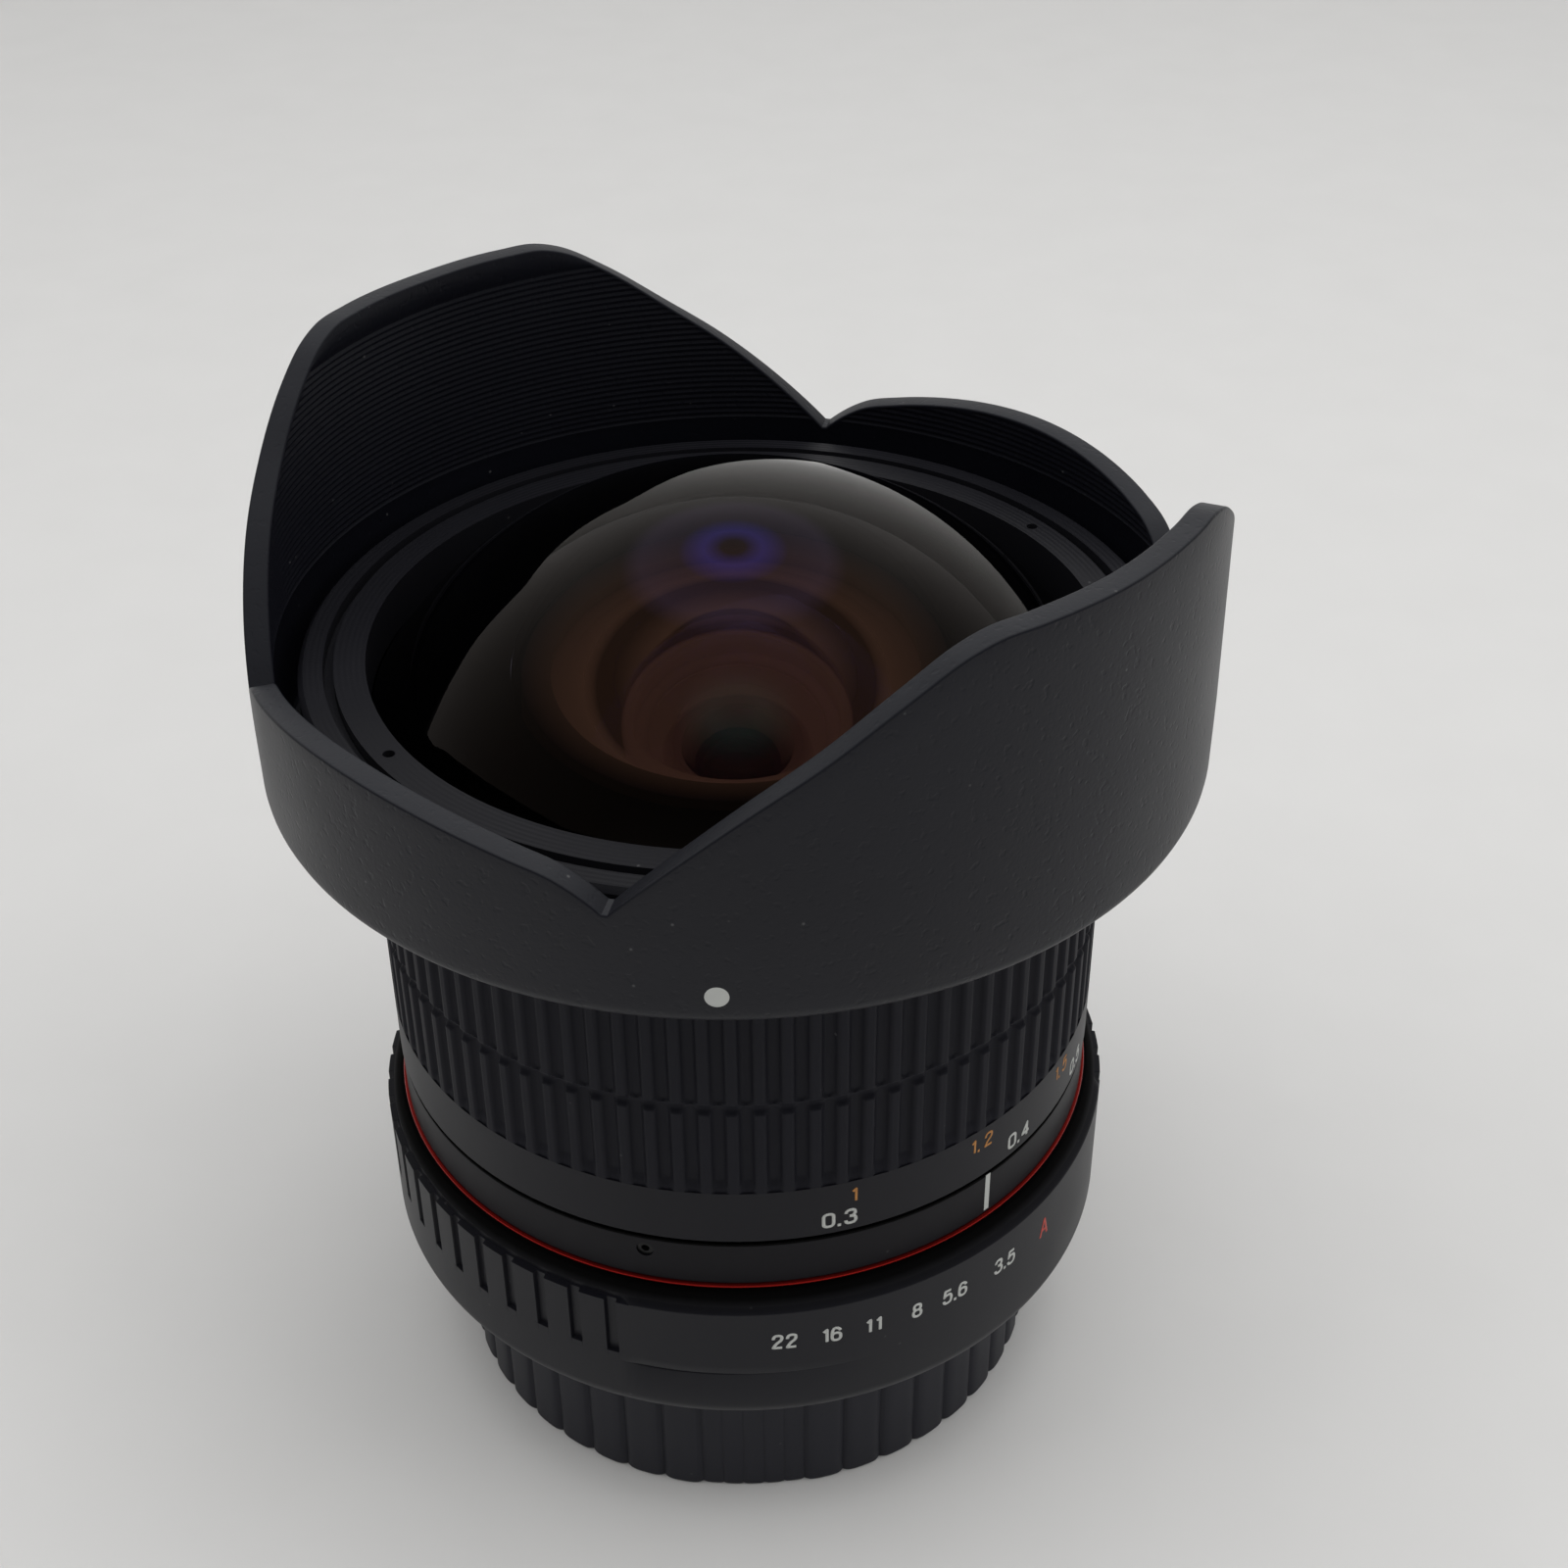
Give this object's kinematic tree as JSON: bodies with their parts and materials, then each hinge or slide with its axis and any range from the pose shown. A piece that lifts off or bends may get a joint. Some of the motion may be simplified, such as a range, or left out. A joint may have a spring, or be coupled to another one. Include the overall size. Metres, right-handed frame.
{
  "type": "fisheye lens",
  "caption": "Manual fisheye lens with a domed front glass, petal hood, ribbed focus ring, aperture ring and fluted rear cap, standing upright on the cap.",
  "frame": {"origin": "centre of the rear cap's bottom face, which the lens stands on", "axes": "+Z along the optical axis towards the front glass; -Y is the side with the index line"},
  "size_m": [0.0892, 0.089, 0.1071],
  "materials": {
    "cap_plastic": "fine matt moulded",
    "mount_metal": "satin plated",
    "steel": "turned",
    "barrel_black": "satin black anodised",
    "inner_black": "matt black anodised",
    "red_trim": "satin red paint",
    "cam_brass": "turned",
    "grip_rubber": "moulded ribs",
    "hood_plastic": "fine pebbled",
    "white_paint": "filled paint",
    "orange_paint": "filled paint",
    "coated_glass": "multicoated",
    "blade_black": "matt black"
  },
  "bodies": {
    "barrel": {"mount_plate": "mount_metal", "mount_screws": "steel", "rear_barrel": "barrel_black", "click_ball": "steel", "click_spring": "steel", "red_ring": "red_trim", "index_ring": "barrel_black", "index_grub_screw": "steel", "guide_tube": "inner_black", "front_barrel": "barrel_black"},
    "focus": {"focus_ring": "barrel_black", "focus_grip": "grip_rubber", "focus_cam": "cam_brass", "cam_screws": "steel"},
    "optics": {"carriage": "inner_black", "front_cell": "inner_black", "front_cell_screws": "steel", "front_ring": "barrel_black", "middle_cell": "inner_black", "inner_ring": "inner_black", "front_spacer": "inner_black", "doublet_ring": "inner_black", "iris_plate": "inner_black", "iris_housing": "inner_black", "rear_cell": "inner_black", "rear_spacer_1": "inner_black", "rear_spacer_2": "inner_black", "rear_ring": "inner_black", "guide_rollers": "steel", "element_01": "coated_glass", "element_02": "coated_glass", "element_03": "coated_glass", "element_04": "coated_glass", "element_05": "coated_glass", "element_06": "coated_glass", "element_07": "coated_glass", "element_08": "coated_glass", "element_09": "coated_glass", "element_10": "coated_glass"},
    "aperture": {"aperture_ring": "barrel_black", "aperture_drive_bar": "steel"},
    "iris_cam": {"iris_cam_ring": "inner_black"},
    "blade_1": {"iris_blade_1": "blade_black"},
    "blade_2": {"iris_blade_2": "blade_black"},
    "blade_3": {"iris_blade_3": "blade_black"},
    "blade_4": {"iris_blade_4": "blade_black"},
    "blade_5": {"iris_blade_5": "blade_black"},
    "blade_6": {"iris_blade_6": "blade_black"},
    "hood": {"lens_hood": "hood_plastic", "hood_dot": "white_paint"},
    "cap": {"rear_cap": "cap_plastic"}
  },
  "joints": [
    {"name": "focus_turn", "type": "hinge", "parent": "barrel", "child": "focus", "pos_m": [0, 0, 0.054], "axis": [0, 0, 1], "range_deg": [-107.2, 26.4]},
    {"name": "optics_slide", "type": "slide", "parent": "barrel", "child": "optics", "axis": [0, 0, 1], "range_m": [-0.00018, 0.000045]},
    {"name": "aperture_turn", "type": "hinge", "parent": "barrel", "child": "aperture", "pos_m": [0, 0, 0.027], "axis": [0, 0, 1], "range_deg": [-10.4, 36.7]},
    {"name": "iris_cam_turn", "type": "hinge", "parent": "optics", "child": "iris_cam", "pos_m": [0, 0, 0.048], "axis": [0, 0, 1], "range_deg": [-10.5, 36.8]},
    {"name": "blade_1_swing", "type": "hinge", "parent": "optics", "child": "blade_1", "pos_m": [0.012, 0, 0.0495], "axis": [0, 0, 1], "range_deg": [-5.6, 19.5]},
    {"name": "blade_2_swing", "type": "hinge", "parent": "optics", "child": "blade_2", "pos_m": [0.006, 0.01039, 0.0495], "axis": [0, 0, 1], "range_deg": [-5.6, 19.5]},
    {"name": "blade_3_swing", "type": "hinge", "parent": "optics", "child": "blade_3", "pos_m": [-0.006, 0.01039, 0.0495], "axis": [0, 0, 1], "range_deg": [-5.6, 19.5]},
    {"name": "blade_4_swing", "type": "hinge", "parent": "optics", "child": "blade_4", "pos_m": [-0.012, 0, 0.0495], "axis": [0, 0, 1], "range_deg": [-5.6, 19.5]},
    {"name": "blade_5_swing", "type": "hinge", "parent": "optics", "child": "blade_5", "pos_m": [-0.006, -0.01039, 0.0495], "axis": [0, 0, 1], "range_deg": [-5.6, 19.5]},
    {"name": "blade_6_swing", "type": "hinge", "parent": "optics", "child": "blade_6", "pos_m": [0.006, -0.01039, 0.0495], "axis": [0, 0, 1], "range_deg": [-5.6, 19.5]},
    {"name": "hood_turn", "type": "hinge", "parent": "barrel", "child": "hood", "pos_m": [0, 0, 0.075], "axis": [0, 0, 1], "range_deg": [0, 45]},
    {"name": "cap_turn", "type": "hinge", "parent": "barrel", "child": "cap", "pos_m": [0, 0, 0.015], "axis": [0, 0, 1], "range_deg": [0, 60]}
  ],
  "couplings": [
    {"joint": "optics_slide", "follows": "focus_turn", "m_per_rad": 0.000093997},
    {"joint": "iris_cam_turn", "follows": "aperture_turn", "ratio": 1},
    {"joint": "blade_1_swing", "follows": "aperture_turn", "ratio": 0.52861},
    {"joint": "blade_2_swing", "follows": "aperture_turn", "ratio": 0.52861},
    {"joint": "blade_3_swing", "follows": "aperture_turn", "ratio": 0.52861},
    {"joint": "blade_4_swing", "follows": "aperture_turn", "ratio": 0.52861},
    {"joint": "blade_5_swing", "follows": "aperture_turn", "ratio": 0.52861},
    {"joint": "blade_6_swing", "follows": "aperture_turn", "ratio": 0.52861}
  ]
}
